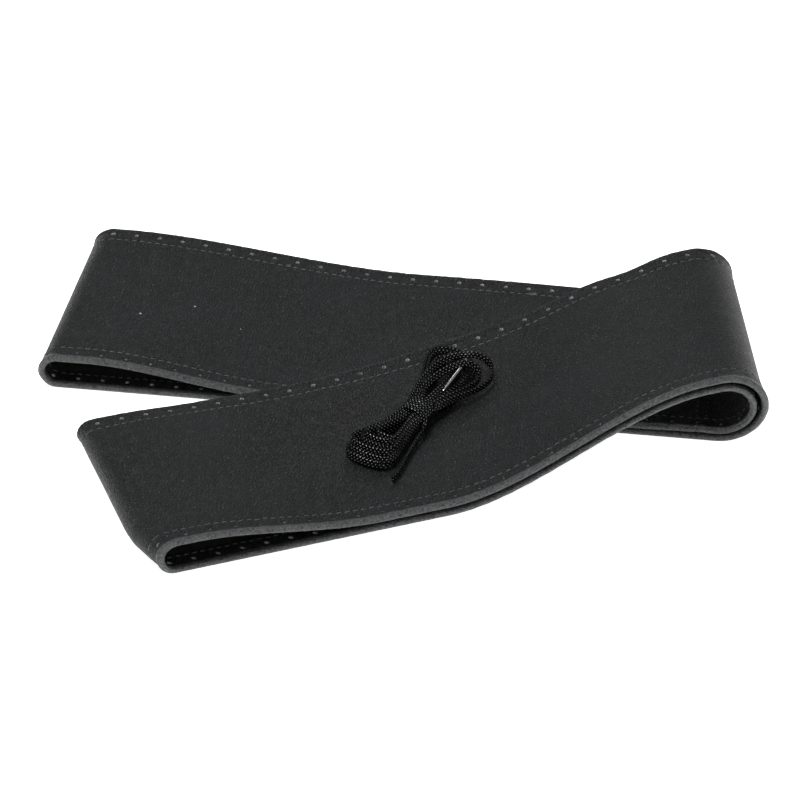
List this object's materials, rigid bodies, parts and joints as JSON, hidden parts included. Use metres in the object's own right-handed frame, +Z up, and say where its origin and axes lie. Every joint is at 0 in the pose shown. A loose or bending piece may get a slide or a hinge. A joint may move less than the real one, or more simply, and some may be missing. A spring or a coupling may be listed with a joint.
{
  "type": "lace-on steering wheel cover",
  "caption": "Closed leather band with punched, hemmed edges, folded flat into a V, with a tied hank of lacing cord and a needle on top.",
  "frame": {"origin": "middle of the folded cover's base, on the surface it lies on, measured without the lace and needle", "axes": "+X along the lower half toward the fold, +Y from its near edge to its far edge, +Z up"},
  "size_m": [0.3, 0.2196, 0.039],
  "materials": {
    "leather_grain": "smooth fine-grained charcoal leather, grain side out",
    "leather_hem": "turned hem, grain side up, creased",
    "sewing_thread": "black bonded sewing thread",
    "seam_tape": "thin woven backing tape",
    "lace_nylon": "shiny black flat braid",
    "needle_steel": "polished steel"
  },
  "bodies": {
    "lower_half": {"lower_bottom_panel": "leather_grain", "lower_top_panel": "leather_grain", "lower_end_loop": "leather_grain", "lower_fold_outer": "leather_grain", "lower_fold_inner": "leather_grain", "lower_near_hem": "leather_hem", "lower_far_hem": "leather_hem", "lower_near_thread": "sewing_thread", "lower_far_thread": "sewing_thread", "closing_seam_tape": "seam_tape", "closing_seam_thread": "sewing_thread"},
    "upper_half": {"upper_bottom_panel": "leather_grain", "upper_top_panel": "leather_grain", "upper_end_loop": "leather_grain", "upper_fold_outer": "leather_grain", "upper_fold_inner": "leather_grain", "upper_near_hem": "leather_hem", "upper_far_hem": "leather_hem", "upper_near_thread": "sewing_thread", "upper_far_thread": "sewing_thread"},
    "lace": {"lace_front_loops": "lace_nylon", "lace_back_loops": "lace_nylon", "lace_waist_wrap": "lace_nylon", "lace_tail": "lace_nylon"},
    "needle": {"needle": "needle_steel"}
  },
  "joints": [
    {"name": "fold_hinge", "type": "hinge", "parent": "lower_half", "child": "upper_half", "pos_m": [0.1368, 0.06671, 0.0195], "axis": [-0.2385, 0.9711, 0], "range_deg": [0, 90]},
    {"name": "hank_lift", "type": "slide", "parent": "upper_half", "child": "lace", "axis": [0, 0, 1], "range_m": [0, 0.15]},
    {"name": "needle_draw", "type": "slide", "parent": "lace", "child": "needle", "axis": [0.3439, 0.9296, 0.1328], "range_m": [0, 0.06]}
  ]
}
